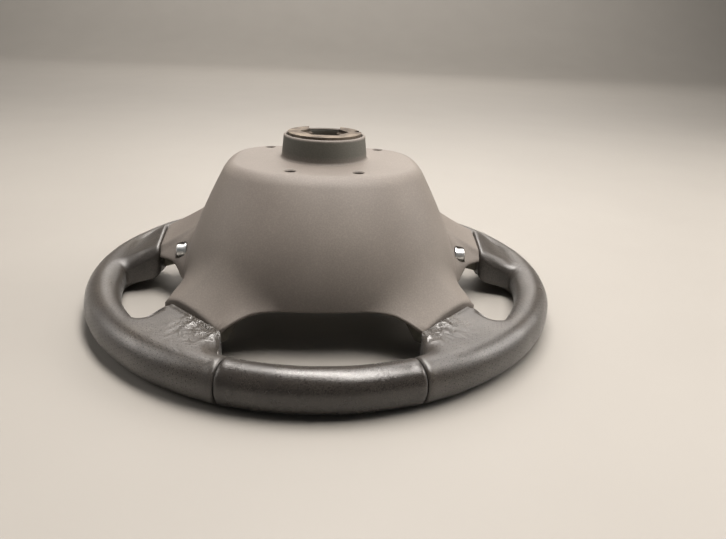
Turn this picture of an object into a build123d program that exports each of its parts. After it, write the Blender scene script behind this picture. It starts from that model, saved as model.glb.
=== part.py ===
from build123d import *
import math
import os

# Car steering wheel lying face down: +Z is the wheel's axis towards the column, -Y is 6 o'clock,
# and z = 0 is the front of the rim. All sizes are in millimetres and angles in degrees.

# Rim
rim_outer_radius = 190
rim_width = 26
rim_depth = 29.2
leather_thickness = 1.2
core_bar_diameter = 10
bottom_seam_angle = 19.7
top_seam_angle = 50

# Lower spokes: each axis runs down and outwards and passes the wheel's axis at a small distance
lower_spoke_slant = 45
lower_spoke_offset = 15.5
lower_web_length = 38
lower_web_width = 51
lower_web_flare = 18
web_depth = 24.6
web_sink = 0.5
web_corner = 9

# Side spokes
side_spoke_y = 16
side_block_length = 40
side_block_width = 44
side_block_depth = 32
side_block_lift = 15
side_block_flare = 4
side_block_corner = 10

# Rear cover
cover_top_z = 118
cover_skirt_z = 28
cover_low_z = 22
cover_wall = 2.5
cover_centre_y = -14
top_half_width = 74
top_front_reach = 58
top_rear_reach = 63
side_spread = 37
front_spread = 44
rear_spread = 14
wall_bow = 1.4
front_squareness = 2.4
rear_squareness = 3.5
top_edge_radius = 6
side_flare_z = 70
side_flare_depth = 29
side_flare_power = 1.3
side_flare_flat = 5
side_flare_end = 14
side_flare_shift = 1.25
lower_flare_z = 66
lower_flare_depth = 45
lower_flare_power = 1.8
lower_flare_flat = 8
lower_flare_end = 30
spoke_joint_gap = 0.3
bottom_arch_z = 35
bottom_arch_margin = 10
bottom_arch_corner = 10
rear_arch_z = 45
rear_arch_half_width = 78
rear_arch_corner = 12
collar_top_radius = 32.5
collar_base_radius = 34
collar_height = 17
collar_wall = 2.7
collar_edge = 0.8
outline_points = 60
wall_levels = 8
edge_levels = 3
inset_steps = 8

# Screws that hold the rear cover
rear_screw_x = 46.3
rear_screw_y = 36.5
front_screw_x = 24.6
front_screw_y = -54.3
well_hole_radius = 4
well_wall = 2
well_depth = 16
well_floor = 2.5
screw_radius = 1.9
screw_length = 12
screw_head_radius = 3.5
screw_head_height = 2.4
screw_clearance = 0.4
screw_slot_width = 1
screw_slot_depth = 1.2

# Armature
boss_clearance = 0.6
boss_proud = 1
boss_pocket_radius = 17.5
boss_pocket_depth = 18
boss_pocket_chamfer = 1.5
boss_pocket_taper = 45
hexagon_sides = 6
boss_gap_width = 26
boss_gap_depth = 9
boss_notch_width = 5
boss_notch_depth = 4
boss_notch_angle = 12
post_height = 6
plate_thickness = 9
plate_margin = 7
plate_corner = 14
arm_width = 22
arm_depth = 14
arm_knee_lag = 6
arm_foot_run = 12
lower_arm_knee = 66
ring_cover = 2.5

# Steel insert on the steering shaft
bush_radius = 13.5
bush_proud = 4
bush_flange_radius = 19
bush_flange_height = 5
shaft_radius = 8.5
bush_chamfer = 1

# Airbag bolts, loosened and captive
bolt_y = -12.5
bolt_z = 40
bolt_radius = 3
bolt_travel = 12
bolt_tail = 10
bolt_stand_out = 3
bolt_head_radius = 5
bolt_head_height = 6.5
bolt_flange_radius = 6.3
bolt_flange_height = 1.5
bolt_socket_width = 5
bolt_socket_depth = 3.5
bolt_clearance = 0.3
bolt_seat_gap = 0.3
bolt_hole_clearance = 1.2
bolt_edge = 0.6
ear_thickness = 6
ear_reach = 11
ear_overlap = 5
bolt_bush_radius = 5.5
bolt_bush_flange_radius = 8
bolt_bush_flange_height = 2
clip_thickness = 1.2
clip_radius = 5.5
clip_gap = 0.3

# Places worked out from the sizes above
rim_mid_radius = rim_outer_radius - rim_width / 2
rim_mid_z = rim_depth / 2
web_top_z = rim_depth - web_sink
side_seam_x = rim_mid_radius - side_block_length

slant = math.radians(lower_spoke_slant)
spoke_run = Vector(math.cos(slant), -math.sin(slant), 0)
spoke_side = Vector(math.sin(slant), math.cos(slant), 0)
lower_axis_reach = math.sqrt(rim_mid_radius**2 - lower_spoke_offset**2)
lower_hub_point = spoke_side * -lower_spoke_offset
lower_seam = lower_hub_point + spoke_run * (lower_axis_reach - lower_web_length)
lower_hub_length = lower_axis_reach - lower_web_length

side_flare_end_point = Vector(side_seam_x, side_spoke_y + side_flare_shift, 0)
side_flare_growth = (side_flare_z, side_flare_depth, side_flare_power)
lower_flare_growth = (lower_flare_z, lower_flare_depth, lower_flare_power)

well_floor_z = cover_top_z - well_depth
post_top_z = well_floor_z - well_floor
plate_top_z = post_top_z - post_height
plate_low_z = plate_top_z - plate_thickness
well_radius = well_hole_radius + well_wall
collar_bore_radius = collar_top_radius - collar_wall
boss_radius = collar_bore_radius - boss_clearance
boss_top_z = cover_top_z + collar_height + boss_proud
pocket_floor_z = boss_top_z - boss_pocket_depth
plate_half_width = rear_screw_x + well_radius + plate_margin
plate_rear_y = rear_screw_y + well_radius
plate_front_y = front_screw_y - well_radius
arm_top_z = rim_mid_z + arm_depth / 2
arm_low_z = rim_mid_z - arm_depth / 2
arm_end_radius = rim_mid_radius + core_bar_diameter / 2 + ring_cover
screw_places = [
    (-rear_screw_x, rear_screw_y),
    (rear_screw_x, rear_screw_y),
    (-front_screw_x, front_screw_y),
    (front_screw_x, front_screw_y),
]


def wall_spread(z):
    """Share of the cover's full spread that its bowed wall has reached at a height."""
    drop = min((cover_top_z - z) / (cover_top_z - cover_skirt_z), 1)
    return 1 - (1 - drop) ** wall_bow


def hub_radius(angle, z):
    """Radius of the hub's rounded outline, without its spokes, about the cover's centre."""
    spread = wall_spread(z)
    along = abs(math.cos(angle)) / (top_half_width + side_spread * spread)
    if math.sin(angle) < 0:
        across = -math.sin(angle) / (top_front_reach + front_spread * spread)
        power = front_squareness
    else:
        across = math.sin(angle) / (top_rear_reach + rear_spread * spread)
        power = rear_squareness
    return (along**power + across**power) ** (-1 / power)


def flare_height(z, start_z, depth, power):
    """How far a spoke's flare has grown out of the hub's wall, from 0 to 1."""
    return min(max((start_z - z) / depth, 0), 1) ** power


def flare_width(turn, flat, end):
    """Fall of a flare from its middle to its flanks, from 1 to 0."""
    share = min(max((abs(turn) - flat) / (end - flat), 0), 1)
    return 1 - share * share * (3 - 2 * share)


def cover_radius(angle, z):
    """Outline of the rear cover: the hub with the flares of the side and lower spokes."""
    radius = hub_radius(angle, z)
    mirrored = angle if math.cos(angle) > 0 else math.pi - angle
    for target, flat, end, growth in (
        (side_flare_end_point, side_flare_flat, side_flare_end, side_flare_growth),
        (lower_seam, lower_flare_flat, lower_flare_end, lower_flare_growth),
    ):
        centre = math.atan2(target.Y - cover_centre_y, target.X)
        reach = math.hypot(target.X, target.Y - cover_centre_y) + web_corner - hub_radius(centre, cover_low_z)
        turn = math.degrees(math.remainder(mirrored - centre, 2 * math.pi))
        radius += reach * flare_height(z, *growth) * flare_width(turn, flat, end)
    return radius


def inset_radius(angle, z, inset):
    """Outline drawn in by an inset, measured square to the wall."""
    nearest = cover_radius(angle, z) - inset
    for step in range(1 - inset_steps, inset_steps):
        turn = inset * step / inset_steps / rim_outer_radius
        radius = cover_radius(angle + turn, z)
        aside = radius * math.sin(turn)
        nearest = min(nearest, radius * math.cos(turn) - math.sqrt(max(inset**2 - aside**2, 0)))
    return nearest


def cover_form(inset, low_z):
    """Solid inside the cover's wall, drawn in by an inset and open downwards to a height."""
    top_z = cover_top_z - inset
    edge = top_edge_radius - inset
    levels = []
    for level in range(wall_levels):
        levels.append((low_z + (top_z - edge - low_z) * level / (wall_levels - 1), 0))
    for level in range(1, edge_levels + 1):
        turn = math.pi / 2 * level / edge_levels
        levels.append((top_z - edge + edge * math.sin(turn), edge - edge * math.cos(turn)))
    with BuildPart() as form:
        for z, rounding in levels:
            with BuildSketch(Plane.XY.offset(z)):
                with BuildLine():
                    points = []
                    for step in range(outline_points):
                        angle = math.pi / 2 + 2 * math.pi * step / outline_points
                        radius = inset_radius(angle, z + inset, inset + rounding)
                        points.append((radius * math.cos(angle), cover_centre_y + radius * math.sin(angle)))
                    Spline(points, periodic=True)
                make_face()
        loft()
    return form.part


def web_plane(distance):
    """Cross plane of the right lower spoke, a distance outwards from its leather seam."""
    return Plane(origin=lower_seam + spoke_run * distance, x_dir=spoke_side, z_dir=spoke_run)


def grip_form(inset):
    """Rim section with the wrapped webs of the four spokes, drawn in by an inset."""
    with BuildPart() as form:
        for distance, width in ((0, lower_web_width), (lower_web_length, lower_web_width + 2 * lower_web_flare)):
            with BuildSketch(web_plane(distance)):
                with Locations((0, web_top_z - web_depth / 2)):
                    RectangleRounded(width - 2 * inset, web_depth - 2 * inset, web_corner - inset)
        loft()
        side_sections = (
            (side_seam_x, side_block_width, side_block_depth, rim_mid_z + side_block_lift),
            (rim_mid_radius, side_block_width + 2 * side_block_flare, web_depth, web_top_z - web_depth / 2),
        )
        for x, width, depth, middle_z in side_sections:
            with BuildSketch(Plane.YZ.offset(x)):
                with Locations((side_spoke_y, middle_z)):
                    RectangleRounded(width - 2 * inset, depth - 2 * inset, side_block_corner - inset)
        loft()
        Cylinder(rim_mid_radius, 2 * cover_top_z, mode=Mode.INTERSECT)
        mirror(about=Plane.YZ)
        with BuildSketch(Plane.XZ):
            with Locations((rim_mid_radius, rim_mid_z)):
                Ellipse(rim_width / 2 - inset, rim_depth / 2 - inset)
        revolve(axis=Axis.Z)
    return form.part


def sector(start, end):
    """Wedge of the whole wheel between two angles, counted anticlockwise from +X."""
    reach = 2 * rim_outer_radius
    middle = (start + end) / 2
    with BuildPart() as wedge:
        with BuildSketch():
            corners = [(0, 0)]
            for turn in (start, middle, end):
                angle = math.radians(turn)
                corners.append((reach * math.cos(angle), reach * math.sin(angle)))
            Polygon(*corners, align=None)
        extrude(amount=cover_top_z)
    return wedge.part


os.makedirs("parts", exist_ok=True)

# Rim core: one round steel bar, bent and welded to a ring
with BuildPart() as rim_ring:
    with BuildSketch(Plane.XZ):
        with Locations((rim_mid_radius, rim_mid_z)):
            Circle(core_bar_diameter / 2)
    revolve(axis=Axis.Z)
rim_ring.part.label = "rim_ring"
export_step(rim_ring.part, "parts/rim_ring.step")

# The bolts' chain of places along +X, from the head's underside in to the tip
bolt_head_x = top_half_width + side_spread * wall_spread(bolt_z) + bolt_stand_out
bolt_bush_face_x = bolt_head_x - bolt_travel - bolt_seat_gap
ear_outer_x = bolt_bush_face_x - bolt_bush_flange_height
ear_inner_x = ear_outer_x - ear_thickness
clip_outer_x = ear_inner_x - clip_gap
clip_inner_x = clip_outer_x - clip_thickness
bolt_tip_x = clip_inner_x - bolt_tail
bolt_hole_radius = bolt_flange_radius + bolt_hole_clearance
bolt_sides = {
    "right": Plane.YZ,
    "left": Plane(origin=(0, 0, 0), x_dir=(0, -1, 0), z_dir=(-1, 0, 0)),
}

# Armature: one casting with the boss, its plate, four bent arms cast round the rim core,
# four posts for the cover's screws and two ears for the airbag bolts
side_knee_x = plate_half_width
side_foot_x = side_seam_x - arm_foot_run
side_foot_z = rim_mid_z + side_block_lift
lower_knee = lower_arm_knee - lower_hub_length
with BuildPart() as armature:
    with BuildSketch(Plane.XZ.offset(-side_spoke_y)):
        Polygon(
            (0, plate_top_z),
            (side_knee_x, plate_top_z),
            (side_foot_x, side_foot_z + arm_depth / 2),
            (rim_mid_radius, arm_top_z),
            (arm_end_radius, arm_top_z),
            (arm_end_radius, arm_low_z),
            (rim_mid_radius, arm_low_z),
            (side_foot_x - arm_knee_lag, side_foot_z - arm_depth / 2),
            (side_knee_x - arm_knee_lag, plate_low_z),
            (0, plate_low_z),
            align=None,
        )
    extrude(amount=arm_width / 2, both=True)
    with BuildSketch(Plane(origin=lower_seam, x_dir=spoke_run, z_dir=-spoke_side)):
        Polygon(
            (-lower_hub_length, plate_top_z),
            (lower_knee, plate_top_z),
            (-arm_foot_run, arm_top_z),
            (arm_end_radius - lower_hub_length, arm_top_z),
            (arm_end_radius - lower_hub_length, arm_low_z),
            (-arm_foot_run - arm_knee_lag, arm_low_z),
            (lower_knee - arm_knee_lag, plate_low_z),
            (-lower_hub_length, plate_low_z),
            align=None,
        )
    extrude(amount=arm_width / 2, both=True)
    with BuildSketch(Plane.YZ.offset(ear_inner_x)):
        ear_top = (arm_top_z + plate_top_z) / 2
        Polygon(
            (bolt_y - ear_reach, bolt_z),
            (bolt_y - ear_reach, bolt_z - ear_reach),
            (bolt_y + ear_reach, bolt_z - ear_reach),
            (side_spoke_y - arm_width / 2 + ear_overlap, bolt_z),
            (side_spoke_y - arm_width / 2 + ear_overlap, ear_top),
            (bolt_y, ear_top),
            align=None,
        )
    extrude(amount=ear_thickness)
    mirror(about=Plane.YZ)
    with BuildSketch(Plane.XY.offset(plate_low_z)):
        with Locations((0, (plate_front_y + plate_rear_y) / 2)):
            RectangleRounded(2 * plate_half_width, plate_rear_y - plate_front_y, plate_corner)
    extrude(amount=plate_thickness)
    with BuildSketch(Plane.XY.offset(plate_low_z)):
        Circle(boss_radius)
    extrude(amount=boss_top_z - plate_low_z)
    with BuildSketch(Plane.XY.offset(plate_top_z)):
        with Locations(*screw_places):
            Circle(well_radius)
    extrude(amount=post_height)
    with BuildSketch(Plane.XY.offset(pocket_floor_z)):
        RegularPolygon(boss_pocket_radius, hexagon_sides)
    extrude(amount=boss_pocket_depth, mode=Mode.SUBTRACT)
    with BuildSketch(Plane.XY.offset(boss_top_z - boss_pocket_chamfer)):
        RegularPolygon(boss_pocket_radius, hexagon_sides)
    extrude(amount=boss_pocket_chamfer, taper=-boss_pocket_taper, mode=Mode.SUBTRACT)
    with BuildSketch(Plane.XY.offset(boss_top_z)):
        with Locations((0, boss_radius)):
            Rectangle(boss_gap_width, 2 * boss_radius - 2 * bush_radius)
    extrude(amount=-boss_gap_depth, mode=Mode.SUBTRACT)
    with BuildSketch(Plane.XY.offset(boss_top_z)):
        with PolarLocations(boss_radius, 1, start_angle=boss_notch_angle):
            Rectangle(2 * boss_notch_depth, boss_notch_width)
    extrude(amount=-boss_gap_depth, mode=Mode.SUBTRACT)
    with BuildSketch(Plane.XY.offset(plate_low_z)):
        Circle(bush_radius)
    extrude(amount=boss_top_z - plate_low_z, mode=Mode.SUBTRACT)
    with BuildSketch(Plane.XY.offset(post_top_z)):
        with Locations(*screw_places):
            Circle(screw_radius)
    extrude(amount=-screw_length, mode=Mode.SUBTRACT)
    with BuildSketch(Plane.YZ):
        with Locations((bolt_y, bolt_z)):
            Circle(bolt_bush_radius)
    extrude(amount=ear_outer_x, both=True, mode=Mode.SUBTRACT)
    add(rim_ring.part, mode=Mode.SUBTRACT)
armature.part.label = "armature"
export_step(armature.part, "parts/armature.step")

# Steel insert: a flanged sleeve pressed into the boss, bored for the serrated steering shaft
with BuildPart() as hub_bush:
    with BuildSketch(Plane.XY.offset(plate_low_z - bush_flange_height)):
        Circle(bush_flange_radius)
    extrude(amount=bush_flange_height)
    with BuildSketch(Plane.XY.offset(plate_low_z)):
        Circle(bush_radius)
    extrude(amount=pocket_floor_z + bush_proud - plate_low_z)
    chamfer(hub_bush.edges().group_by(Axis.Z)[-1], bush_chamfer)
    with BuildSketch(Plane.XY.offset(plate_low_z - bush_flange_height)):
        Circle(shaft_radius)
    extrude(amount=pocket_floor_z + bush_proud - plate_low_z + bush_flange_height, mode=Mode.SUBTRACT)
hub_bush.part.label = "hub_bush"
export_step(hub_bush.part, "parts/hub_bush.step")

# Foam moulded over the rim core and the ends of the four arms
grip_outside = grip_form(0)
grip_inside = grip_form(leather_thickness)
with BuildPart() as rim_foam:
    add(grip_inside)
    add(rim_ring.part, mode=Mode.SUBTRACT)
    add(armature.part, mode=Mode.SUBTRACT)
rim_foam.part.label = "rim_foam"
export_step(rim_foam.part, "parts/rim_foam.step")

# Leather: four panels sewn together at the seams and round the foam
leather_sectors = {
    "leather_bottom": (270 - bottom_seam_angle, 270 + bottom_seam_angle),
    "leather_right": (bottom_seam_angle - 90, 90 - top_seam_angle),
    "leather_top": (90 - top_seam_angle, 90 + top_seam_angle),
    "leather_left": (90 + top_seam_angle, 270 - bottom_seam_angle),
}
for panel, (start, end) in leather_sectors.items():
    panel_wedge = sector(start, end)
    with BuildPart() as leather:
        add(grip_outside)
        add(grip_inside, mode=Mode.SUBTRACT)
        add(panel_wedge, mode=Mode.INTERSECT)
    leather.part.label = panel
    export_step(leather.part, f"parts/{panel}.step")

# Rear cover: one moulded shell with a collar round the boss, flared spoke ends,
# sunk wells for its four screws and a hole at each airbag bolt
cover_outside = cover_form(0, cover_low_z)
cover_inside = cover_form(cover_wall, cover_low_z - cover_wall)
lower_arch_edge = lower_seam - spoke_side * (lower_web_width / 2)
bottom_arch_half_width = lower_arch_edge.X - bottom_arch_margin
cover_reach = 2 * rim_outer_radius
cover_end_x = side_seam_x - spoke_joint_gap
lower_end = lower_seam - spoke_run * spoke_joint_gap
seam_slope = spoke_side.Y / spoke_side.X
with BuildPart() as cover_hollow:
    add(cover_inside)
    with BuildSketch(Plane.XY.offset(post_top_z)):
        with Locations(*screw_places):
            Circle(well_radius)
    extrude(amount=well_depth + well_floor, mode=Mode.SUBTRACT)
with BuildPart() as rear_cover:
    add(cover_outside)
    with BuildSketch():
        Polygon(
            (-cover_end_x, cover_reach),
            (cover_end_x, cover_reach),
            (cover_end_x, lower_end.Y + (cover_end_x - lower_end.X) * seam_slope),
            (0, lower_end.Y - lower_end.X * seam_slope),
            (-cover_end_x, lower_end.Y + (cover_end_x - lower_end.X) * seam_slope),
            align=None,
        )
    extrude(amount=2 * cover_top_z, mode=Mode.INTERSECT)
    add(cover_hollow.part, mode=Mode.SUBTRACT)
    with BuildSketch(Plane.XZ.offset(-cover_centre_y)):
        Rectangle(2 * bottom_arch_half_width, 2 * bottom_arch_z)
        fillet(vertices(), bottom_arch_corner)
    extrude(amount=cover_reach, mode=Mode.SUBTRACT)
    with BuildSketch(Plane.XZ.offset(-cover_centre_y)):
        Rectangle(2 * rear_arch_half_width, 2 * rear_arch_z)
        fillet(vertices(), rear_arch_corner)
    extrude(amount=-cover_reach, mode=Mode.SUBTRACT)
    for side in bolt_sides.values():
        with BuildSketch(side.offset(bolt_bush_face_x)):
            with Locations((bolt_y * side.x_dir.Y, bolt_z)):
                Circle(bolt_hole_radius)
        extrude(amount=cover_reach, mode=Mode.SUBTRACT)
    with BuildSketch(Plane.XY.offset(cover_top_z - cover_wall / 2)):
        Circle(collar_base_radius)
    with BuildSketch(Plane.XY.offset(cover_top_z + collar_height)):
        Circle(collar_top_radius)
    loft()
    chamfer(rear_cover.edges().group_by(Axis.Z)[-1], collar_edge)
    with BuildSketch(Plane.XY.offset(post_top_z)):
        Circle(collar_bore_radius)
    extrude(amount=boss_top_z - post_top_z, mode=Mode.SUBTRACT)
    with BuildSketch(Plane.XY.offset(well_floor_z)):
        with Locations(*screw_places):
            Circle(well_hole_radius)
    extrude(amount=2 * well_depth, mode=Mode.SUBTRACT)
    with BuildSketch(Plane.XY.offset(post_top_z)):
        with Locations(*screw_places):
            Circle(screw_radius + screw_clearance)
    extrude(amount=2 * well_floor, mode=Mode.SUBTRACT)
rear_cover.part.label = "rear_cover"
export_step(rear_cover.part, "parts/rear_cover.step")

# Cover screws: slotted pan heads on the floors of the wells, threaded into the posts
with BuildPart() as cover_screws:
    with BuildSketch(Plane.XY.offset(well_floor_z)):
        with Locations(*screw_places):
            Circle(screw_head_radius)
    extrude(amount=screw_head_height)
    with BuildSketch(Plane.XY.offset(well_floor_z)):
        with Locations(*screw_places):
            Circle(screw_radius)
    extrude(amount=-screw_length)
    with BuildSketch(Plane.XY.offset(well_floor_z + screw_head_height)):
        with Locations(*screw_places):
            Rectangle(2 * screw_head_radius, screw_slot_width)
    extrude(amount=-screw_slot_depth, mode=Mode.SUBTRACT)
cover_screws.part.label = "cover_screws"
export_step(cover_screws.part, "parts/cover_screws.step")

# Airbag bolts with their bushes and captive rings, one set at 3 and one at 9 o'clock
for name, side in bolt_sides.items():
    axis_place = (bolt_y * side.x_dir.Y, bolt_z)
    with BuildPart() as bolt_bush:
        with BuildSketch(side.offset(ear_outer_x)):
            with Locations(axis_place):
                Circle(bolt_bush_flange_radius)
        extrude(amount=bolt_bush_flange_height)
        with BuildSketch(side.offset(ear_outer_x)):
            with Locations(axis_place):
                Circle(bolt_bush_radius)
        extrude(amount=-ear_thickness)
        with BuildSketch(side.offset(ear_inner_x)):
            with Locations(axis_place):
                Circle(bolt_radius + bolt_clearance)
        extrude(amount=ear_thickness + bolt_bush_flange_height, mode=Mode.SUBTRACT)
    bolt_bush.part.label = f"bolt_bush_{name}"
    export_step(bolt_bush.part, f"parts/bolt_bush_{name}.step")

    with BuildPart() as airbag_bolt:
        with BuildSketch(side.offset(bolt_tip_x)):
            with Locations(axis_place):
                Circle(bolt_radius)
        extrude(amount=bolt_head_x - bolt_tip_x)
        with BuildSketch(side.offset(bolt_head_x)):
            with Locations(axis_place):
                Circle(bolt_flange_radius)
        extrude(amount=bolt_flange_height)
        with BuildSketch(side.offset(bolt_head_x + bolt_flange_height)):
            with Locations(axis_place):
                Circle(bolt_head_radius)
        extrude(amount=bolt_head_height)
        chamfer(airbag_bolt.edges().group_by(Axis((0, 0, 0), side.z_dir))[-1], bolt_edge)
        chamfer(airbag_bolt.edges().group_by(Axis((0, 0, 0), side.z_dir))[0], bolt_edge)
        with BuildSketch(side.offset(bolt_head_x + bolt_flange_height + bolt_head_height)):
            with Locations(axis_place):
                RegularPolygon(bolt_socket_width / 2, hexagon_sides)
        extrude(amount=-bolt_socket_depth, mode=Mode.SUBTRACT)
    airbag_bolt.part.label = f"airbag_bolt_{name}"
    export_step(airbag_bolt.part, f"parts/airbag_bolt_{name}.step")

    with BuildPart() as bolt_clip:
        with BuildSketch(side.offset(clip_inner_x)):
            with Locations(axis_place):
                Circle(clip_radius)
                Circle(bolt_radius, mode=Mode.SUBTRACT)
        extrude(amount=clip_thickness)
    bolt_clip.part.label = f"bolt_clip_{name}"
    export_step(bolt_clip.part, f"parts/bolt_clip_{name}.step")
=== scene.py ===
import bmesh
import bpy
import math
import numpy as np
from mathutils import Matrix, Vector, kdtree, noise


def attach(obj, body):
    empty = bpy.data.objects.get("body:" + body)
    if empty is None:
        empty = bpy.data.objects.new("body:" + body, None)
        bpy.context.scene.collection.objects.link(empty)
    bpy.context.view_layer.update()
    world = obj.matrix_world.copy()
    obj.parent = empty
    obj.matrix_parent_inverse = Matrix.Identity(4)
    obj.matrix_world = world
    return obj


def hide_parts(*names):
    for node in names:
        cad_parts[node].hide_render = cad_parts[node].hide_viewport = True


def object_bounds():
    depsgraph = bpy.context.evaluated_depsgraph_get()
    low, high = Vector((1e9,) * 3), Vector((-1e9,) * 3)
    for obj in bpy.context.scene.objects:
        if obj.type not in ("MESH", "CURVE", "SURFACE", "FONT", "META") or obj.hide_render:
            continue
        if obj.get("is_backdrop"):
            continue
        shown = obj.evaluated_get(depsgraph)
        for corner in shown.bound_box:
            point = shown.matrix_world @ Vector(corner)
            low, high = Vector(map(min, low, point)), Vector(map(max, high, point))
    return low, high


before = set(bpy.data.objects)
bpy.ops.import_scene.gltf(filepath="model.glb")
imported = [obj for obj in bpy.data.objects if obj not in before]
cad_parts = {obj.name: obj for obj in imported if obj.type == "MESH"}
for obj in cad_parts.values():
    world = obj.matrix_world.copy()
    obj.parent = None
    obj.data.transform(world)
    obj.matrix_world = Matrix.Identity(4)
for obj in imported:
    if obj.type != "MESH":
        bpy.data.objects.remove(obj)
cad_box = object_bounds()

# Bench and light: the wheel lies face down on a plain pale bench that curves up into a backdrop. A broad
# soft lamp hangs above it, others stand to the right, to the left and behind, and one lights the backdrop.
# The stage is in metres, the camera's place and the wheel in millimetres.
mm = 0.001
photo_width = 726
focal_pixels = 575
sensor_width = 36
near_clip = 0.01
camera_place = Vector((-1.4, -465.6, 211.8)) * mm
camera_yaw = 0.0787
camera_pitch = 0.3902
camera_roll = 0.0433
world_colour = "#c9cbcc"
world_strength = 0.11
lamp_colour = "#fff9f3"
bench_dark = "#95918b"
bench_light = "#9b9791"
bench_cloud_width = 0.167
bench_reach = 6
bench_end = 3.2
sweep_radius = 1.2
sweep_steps = 25
backdrop_top = 3


def linear(colour):
    """An sRGB hex colour as linear red, green, blue and alpha."""
    parts = []
    for place in (1, 3, 5):
        value = int(colour[place:place + 2], 16) / 255
        parts.append(value / 12.92 if value <= 0.04045 else ((value + 0.055) / 1.055) ** 2.4)
    return (*parts, 1)


def add(tree, kind, inputs=None, **settings):
    """Adds a node with its settings, and fills or links its inputs."""
    made = tree.nodes.new(kind)
    for name, value in settings.items():
        setattr(made, name, value)
    for name, value in (inputs or {}).items():
        if isinstance(value, bpy.types.NodeSocket):
            tree.links.new(value, made.inputs[name])
        else:
            made.inputs[name].default_value = value
    return made


def new_material(name):
    """An empty material, its tree and its Object coordinates in metres."""
    material = bpy.data.materials.new(name)
    material.use_nodes = True
    tree = material.node_tree
    tree.nodes.clear()
    place = add(tree, "ShaderNodeTexCoord").outputs["Object"]
    return material, tree, place


def show(tree, shader):
    """Leads a shader to the material's output."""
    add(tree, "ShaderNodeOutputMaterial", {"Surface": shader.outputs["BSDF"]})


forward = Vector((
    math.sin(camera_yaw) * math.cos(camera_pitch),
    math.cos(camera_yaw) * math.cos(camera_pitch),
    -math.sin(camera_pitch),
))
level_right = Vector((math.cos(camera_yaw), -math.sin(camera_yaw), 0))
level_up = level_right.cross(forward)
camera_right = level_right * math.cos(camera_roll) + level_up * math.sin(camera_roll)
camera_up = level_up * math.cos(camera_roll) - level_right * math.sin(camera_roll)
camera_axes = Matrix((camera_right, camera_up, -forward)).transposed().to_4x4()
camera_data = bpy.data.cameras.new("camera")
camera_data.sensor_width = sensor_width
camera_data.lens = sensor_width * focal_pixels / photo_width
camera_data.clip_start = near_clip
camera = bpy.data.objects.new("camera", camera_data)
camera.matrix_world = Matrix.Translation(camera_place) @ camera_axes
bpy.context.collection.objects.link(camera)
bpy.context.scene.camera = camera
bpy.context.scene.view_settings.view_transform = "Standard"

world = bpy.data.worlds.new("studio")
world.use_nodes = True
world.node_tree.nodes["Background"].inputs["Color"].default_value = linear(world_colour)
world.node_tree.nodes["Background"].inputs["Strength"].default_value = world_strength
bpy.context.scene.world = world

for name, place, aim, wide, high, power in (
    ("lamp_above", (0.15, 0.04, 1.25), (0, -0.06, 0), 1.3, 0.4, 30),
    ("lamp_right", (1.30, 0.10, 0.80), (0, 0, 0.05), 0.8, 0.8, 13),
    ("lamp_left", (-1.30, 0.10, 0.80), (0, 0, 0.05), 0.8, 0.8, 6),
    ("lamp_behind", (0.25, 2.11, 1.89), (0, 0, 0.05), 2.4, 2.1, 42),
    ("lamp_backdrop", (0, 2.60, 2.60), (0, 4.40, 0.80), 5.0, 0.6, 105),
):
    lamp_data = bpy.data.lights.new(name, "AREA")
    lamp_data.shape = "RECTANGLE"
    lamp_data.energy = power
    lamp_data.color = linear(lamp_colour)[:3]
    lamp_data.size = wide
    lamp_data.size_y = high
    lamp = bpy.data.objects.new(name, lamp_data)
    lamp.location = place
    lamp.rotation_euler = (Vector(aim) - Vector(place)).to_track_quat("-Z", "Y").to_euler()
    bpy.context.collection.objects.link(lamp)

bench_material, tree, place = new_material("pale_bench")
cloud = add(tree, "ShaderNodeTexNoise", {"Vector": place, "Scale": 1 / bench_cloud_width, "Detail": 4})
bench_tone = add(tree, "ShaderNodeMixRGB", {
    "Fac": cloud.outputs["Fac"], "Color1": linear(bench_dark), "Color2": linear(bench_light)})
show(tree, add(tree, "ShaderNodeBsdfPrincipled", {
    "Base Color": bench_tone.outputs["Color"], "Roughness": 0.6}))
bench_line = [(-bench_reach, 0)]
for turn in np.linspace(0, math.pi / 2, sweep_steps):
    bench_line.append((bench_end + sweep_radius * math.sin(turn), sweep_radius * (1 - math.cos(turn))))
bench_line.append((bench_end + sweep_radius, backdrop_top))
bench_mesh = bpy.data.meshes.new("bench")
bench_mesh.from_pydata(
    [(x, y, z) for y, z in bench_line for x in (-bench_reach, bench_reach)],
    [],
    [(2 * row, 2 * row + 1, 2 * row + 3, 2 * row + 2) for row in range(len(bench_line) - 1)])
bench_mesh.shade_smooth()
bench_mesh.materials.append(bench_material)
bench = bpy.data.objects.new("bench", bench_mesh)
bpy.context.collection.objects.link(bench)
bench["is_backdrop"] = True

# Armature: one die casting of light alloy that carries the boss, the plate and four arms. It is left
# as cast, dull and matt, and the open boss has turned brown with dirt and corrosion.
stain_width = 14.3
cast_grain_width = 1.11
cast_relief_depth = 0.4
corroded_from_z = 100
corroded_to_z = 120
boss_dark = "#453c33"
boss_light = "#7a6e60"
arm_dark = "#77746a"
arm_light = "#8f8b7f"
cast_alloy, tree, place = new_material("die_cast_alloy")
stain = add(tree, "ShaderNodeTexNoise", {
    "Vector": place, "Scale": 1 / (stain_width * mm), "Detail": 6, "Roughness": 0.65})
stain_range = add(tree, "ShaderNodeMapRange", {
    "Value": stain.outputs["Fac"], "From Min": 0.38, "From Max": 0.64})
boss_colour = add(tree, "ShaderNodeMixRGB", {
    "Fac": stain_range.outputs["Result"], "Color1": linear(boss_dark), "Color2": linear(boss_light)})
arm_colour = add(tree, "ShaderNodeMixRGB", {
    "Fac": stain_range.outputs["Result"], "Color1": linear(arm_dark), "Color2": linear(arm_light)})
height_place = add(tree, "ShaderNodeSeparateXYZ", {"Vector": place})
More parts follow.
